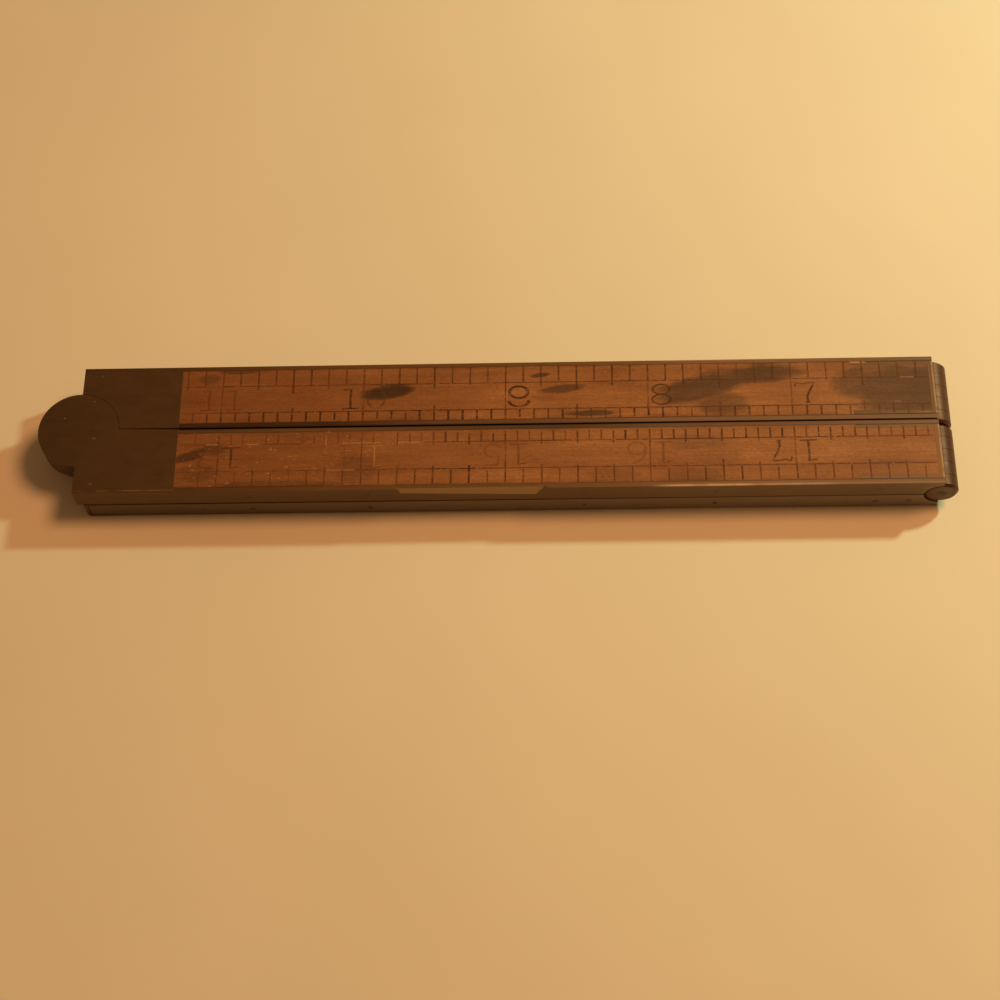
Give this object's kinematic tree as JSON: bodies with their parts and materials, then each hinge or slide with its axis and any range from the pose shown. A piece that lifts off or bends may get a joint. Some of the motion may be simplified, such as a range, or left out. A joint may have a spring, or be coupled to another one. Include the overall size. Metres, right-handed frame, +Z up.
{
  "type": "folding rule",
  "caption": "Folding boxwood rule lying shut: brass-bound legs on a flat pivot joint with a round head, and knuckle hinges that fold each leg under its neighbour.",
  "frame": {"origin": "under the middle of the folded rule, on the surface it lies on", "axes": "+X from the main joint towards the knuckle hinges, +Y towards legs 1 and 2, +Z up through the two layers"},
  "size_m": [0.1626, 0.0254, 0.0089],
  "materials": {
    "boxwood": "old boxwood, stained orange-brown, satin",
    "binding": "patinated brown, worn on the arrises",
    "fittings": "dark brown patina, satin",
    "rivets": "dark brown patina, filed flush",
    "steel": "dull, browned"
  },
  "bodies": {
    "leg_2": {"leg_2_boxwood": "boxwood", "leg_2_outer_binding": "binding", "leg_2_inner_binding": "binding", "leg_2_binding_pins": "rivets", "leg_2_hinge_yoke": "fittings", "leg_2_yoke_rivets": "rivets", "rear_hinge_pin": "steel", "closing_pin": "steel", "joint_top_plate": "fittings", "joint_under_plate": "fittings", "joint_second_leaf": "fittings", "joint_fourth_leaf": "fittings", "leg_2_joint_rivets": "rivets"},
    "leg_3": {"leg_3_boxwood": "boxwood", "leg_3_outer_binding": "binding", "leg_3_inner_binding": "binding", "leg_3_binding_pins": "rivets", "leg_3_hinge_yoke": "fittings", "leg_3_yoke_rivets": "rivets", "front_hinge_pin": "steel", "joint_top_cheek": "fittings", "joint_middle_leaf": "fittings", "joint_under_cheek": "fittings", "joint_pin": "steel", "leg_3_joint_rivets": "rivets"},
    "leg_1": {"leg_1_boxwood": "boxwood", "leg_1_outer_binding": "binding", "leg_1_inner_binding": "binding", "leg_1_binding_pins": "rivets", "leg_1_hinge_yoke": "fittings", "leg_1_yoke_rivets": "rivets", "leg_1_end_tip": "fittings", "leg_1_tip_rivets": "rivets"},
    "leg_4": {"leg_4_boxwood": "boxwood", "leg_4_outer_binding": "binding", "leg_4_inner_binding": "binding", "leg_4_binding_pins": "rivets", "leg_4_hinge_yoke": "fittings", "leg_4_yoke_rivets": "rivets", "leg_4_end_tip": "fittings", "leg_4_tip_rivets": "rivets"}
  },
  "joints": [
    {"name": "main_joint", "type": "hinge", "parent": "leg_2", "child": "leg_3", "pos_m": [-0.07408, 0, 0.0067], "axis": [0, 0, -1], "range_deg": [0, 180]},
    {"name": "rear_hinge", "type": "hinge", "parent": "leg_2", "child": "leg_1", "pos_m": [0.07833, 0.00641, 0.00447], "axis": [0, -1, 0], "range_deg": [0, 180]},
    {"name": "front_hinge", "type": "hinge", "parent": "leg_3", "child": "leg_4", "pos_m": [0.07833, -0.00641, 0.00447], "axis": [0, -1, 0], "range_deg": [0, 180]}
  ]
}
